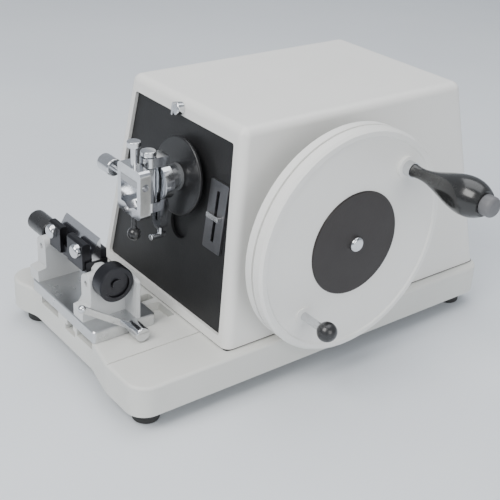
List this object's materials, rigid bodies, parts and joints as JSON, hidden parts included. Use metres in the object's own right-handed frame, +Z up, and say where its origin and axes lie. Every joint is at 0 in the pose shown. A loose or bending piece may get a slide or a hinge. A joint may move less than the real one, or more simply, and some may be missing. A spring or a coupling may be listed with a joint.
{
  "type": "rotary microtome",
  "caption": "Rotary microtome: cast bed with T-slot, tapered hood, handwheel with crank handle, vertically moving specimen clamp and tilting knife holder.",
  "frame": {"origin": "on the bench under the middle of the machine's bounding box", "axes": "+X towards the handwheel, +Y from the knife holder to the back of the hood, +Z up"},
  "size_m": [0.3911, 0.4598, 0.259],
  "materials": {
    "bed_paint": "satin",
    "hood_paint": "satin",
    "wheel_paint": "satin",
    "panel_black": "matte",
    "cover_black": "satin",
    "shield_black": "satin",
    "scale_grey": "matte",
    "pointer_bright": "satin",
    "chrome": "polished",
    "steel": "brushed",
    "ground_steel": "ground",
    "black_steel": "blackened",
    "holder_plate": "ground",
    "support_paint": "satin",
    "cast_iron": "painted grey",
    "bronze": "machined",
    "rubber_foot": "matte",
    "rubber_seal": "matte",
    "grip_black": "polished",
    "knob_black": "polished",
    "cap_grey": "satin",
    "blade_steel": "honed"
  },
  "bodies": {
    "stand": {"bed_casting": "bed_paint", "machine_feet": "steel", "foot_pads": "rubber_foot", "hood": "hood_paint", "hood_seal": "rubber_seal", "front_panel": "panel_black", "thickness_scale": "scale_grey", "guide_columns": "ground_steel", "guide_bridge": "cast_iron", "mechanism_frame": "cast_iron", "bearing_housing": "cast_iron", "shaft_bushes": "bronze", "frame_bolts": "steel", "lock_catch": "steel"},
    "handwheel": {"handwheel": "wheel_paint", "wheel_cover_disc": "cover_black", "hub_screw": "chrome", "main_shaft": "ground_steel", "crank_disc": "steel", "crank_pin": "ground_steel", "crank_roller": "ground_steel", "handle_spindle": "chrome", "grip_end_cap": "cap_grey"},
    "crank_grip": {"crank_grip": "grip_black"},
    "lock_plunger": {"lock_pin": "chrome", "lock_knob": "knob_black"},
    "vertical_slide": {"vertical_slide": "cast_iron", "slide_bushes": "bronze", "slot_blind": "panel_black", "ram_shield": "shield_black"},
    "feed_spindle": {"feed_spindle": "ground_steel", "ratchet_wheel": "steel", "coarse_crank": "steel"},
    "coarse_knob": {"coarse_knob": "knob_black"},
    "pawl_arm": {"pawl_arm": "steel", "feed_pawl": "steel"},
    "feed_ram": {"feed_ram": "chrome", "feed_nut": "bronze"},
    "head_ring": {"head_ring": "chrome"},
    "cross_bar": {"cross_bar": "chrome"},
    "swing_knob": {"swing_knob": "chrome"},
    "specimen_clamp": {"clamp_frame": "chrome"},
    "clamp_jaw": {"clamp_jaw": "steel"},
    "clamp_screw": {"clamp_screw": "chrome"},
    "lower_knob": {"lower_knob": "knob_black"},
    "side_screw": {"side_screw": "chrome"},
    "thickness_pointer": {"thickness_pointer": "pointer_bright"},
    "hood_latch": {"hood_latch": "chrome"},
    "knife_holder": {"knife_base_plate": "holder_plate", "clamp_shoe": "steel", "right_support": "support_paint", "left_support": "support_paint"},
    "clamp_lever": {"clamp_lever": "chrome"},
    "knife_cradle": {"knife_cradle": "black_steel", "tilt_drum": "black_steel"},
    "knife_blade": {"knife_blade": "blade_steel"},
    "left_jaw_nut": {"left_jaw_nut": "chrome"},
    "right_jaw_nut": {"right_jaw_nut": "chrome"},
    "tilt_knob": {"tilt_knob": "knob_black"}
  },
  "joints": [
    {"name": "wheel_turn", "type": "hinge", "parent": "stand", "child": "handwheel", "pos_m": [0.065, -0.0015, 0.148], "axis": [1, 0, 0], "continuous": true},
    {"name": "grip_spin", "type": "hinge", "parent": "handwheel", "child": "crank_grip", "pos_m": [0.0998, 0.0535, 0.213], "axis": [1, 0, 0], "continuous": true},
    {"name": "lock_push", "type": "slide", "parent": "handwheel", "child": "lock_plunger", "axis": [1, 0, 0], "range_m": [-0.008, 0]},
    {"name": "cutting_stroke", "type": "slide", "parent": "stand", "child": "vertical_slide", "axis": [0, 0, 1], "range_m": [-0.05, 0]},
    {"name": "feed_turn", "type": "hinge", "parent": "vertical_slide", "child": "feed_spindle", "pos_m": [-0.05, 0.044, 0.187], "axis": [0, 1, 0], "range_deg": [0, 2890]},
    {"name": "feed_slide", "type": "slide", "parent": "vertical_slide", "child": "feed_ram", "axis": [0, -1, 0], "range_m": [-0.008, 0]},
    {"name": "coarse_knob_spin", "type": "hinge", "parent": "feed_spindle", "child": "coarse_knob", "pos_m": [-0.05, 0.0656, 0.163], "axis": [0, 1, 0], "continuous": true},
    {"name": "pawl_swing", "type": "hinge", "parent": "vertical_slide", "child": "pawl_arm", "pos_m": [-0.05, 0.0543, 0.187], "axis": [0, 1, 0], "range_deg": [0, 24]},
    {"name": "ring_turn", "type": "hinge", "parent": "feed_ram", "child": "head_ring", "pos_m": [-0.05, -0.13, 0.187], "axis": [0, 1, 0], "range_deg": [-15, 15]},
    {"name": "ring_lock", "type": "hinge", "parent": "head_ring", "child": "cross_bar", "pos_m": [-0.05, -0.1255, 0.13], "axis": [0, 0, 1], "range_deg": [0, 90]},
    {"name": "swing_lock", "type": "hinge", "parent": "head_ring", "child": "swing_knob", "pos_m": [-0.05, -0.139, 0.187], "axis": [0, 0, 1], "range_deg": [-90, 90]},
    {"name": "clamp_swing", "type": "hinge", "parent": "head_ring", "child": "specimen_clamp", "pos_m": [-0.05, -0.139, 0.187], "axis": [0, 0, 1], "range_deg": [-8, 8]},
    {"name": "jaw_slide", "type": "slide", "parent": "specimen_clamp", "child": "clamp_jaw", "axis": [0, 0, 1], "range_m": [-0.012, 0]},
    {"name": "clamp_screw_turn", "type": "hinge", "parent": "clamp_jaw", "child": "clamp_screw", "pos_m": [-0.05, -0.1545, 0.208], "axis": [0, 0, 1], "range_deg": [0, 4330]},
    {"name": "lower_knob_turn", "type": "hinge", "parent": "specimen_clamp", "child": "lower_knob", "pos_m": [-0.05, -0.1545, 0.139], "axis": [0, 0, 1], "range_deg": [-90, 90]},
    {"name": "side_screw_turn", "type": "hinge", "parent": "specimen_clamp", "child": "side_screw", "pos_m": [-0.104, -0.1545, 0.193], "axis": [1, 0, 0], "range_deg": [-90, 90]},
    {"name": "thickness_set", "type": "slide", "parent": "stand", "child": "thickness_pointer", "axis": [0, 0.1236, 0.9923], "range_m": [-0.022, 0.022]},
    {"name": "latch_turn", "type": "hinge", "parent": "stand", "child": "hood_latch", "pos_m": [-0.066, -0.09305, 0.24707], "axis": [0, -0.9923, 0.1236], "range_deg": [0, 90]},
    {"name": "holder_slide", "type": "slide", "parent": "stand", "child": "knife_holder", "axis": [0, -1, 0], "range_m": [0, 0.015]},
    {"name": "holder_clamp", "type": "hinge", "parent": "knife_holder", "child": "clamp_lever", "pos_m": [-0.026, -0.172, 0.0565], "axis": [1, 0, 0], "range_deg": [-45, 25]},
    {"name": "knife_tilt", "type": "hinge", "parent": "knife_holder", "child": "knife_cradle", "pos_m": [-0.057, -0.184, 0.101], "axis": [1, 0, 0], "range_deg": [-8, 3]},
    {"name": "knife_shift", "type": "slide", "parent": "knife_cradle", "child": "knife_blade", "axis": [1, 0, 0], "range_m": [0, 0.017]},
    {"name": "left_nut_turn", "type": "hinge", "parent": "knife_cradle", "child": "left_jaw_nut", "pos_m": [-0.1255, -0.2, 0.1215], "axis": [0, 1, 0], "range_deg": [-90, 90]},
    {"name": "right_nut_turn", "type": "hinge", "parent": "knife_cradle", "child": "right_jaw_nut", "pos_m": [-0.0768, -0.2, 0.1215], "axis": [0, 1, 0], "range_deg": [-90, 90]},
    {"name": "tilt_knob_turn", "type": "hinge", "parent": "knife_cradle", "child": "tilt_knob", "pos_m": [-0.195, -0.184, 0.101], "axis": [1, 0, 0], "range_deg": [-90, 90]}
  ],
  "couplings": [
    {"joint": "feed_turn", "follows": "feed_slide", "rad_per_m": -6283.2},
    {"joint": "clamp_screw_turn", "follows": "jaw_slide", "rad_per_m": -6283.2}
  ]
}
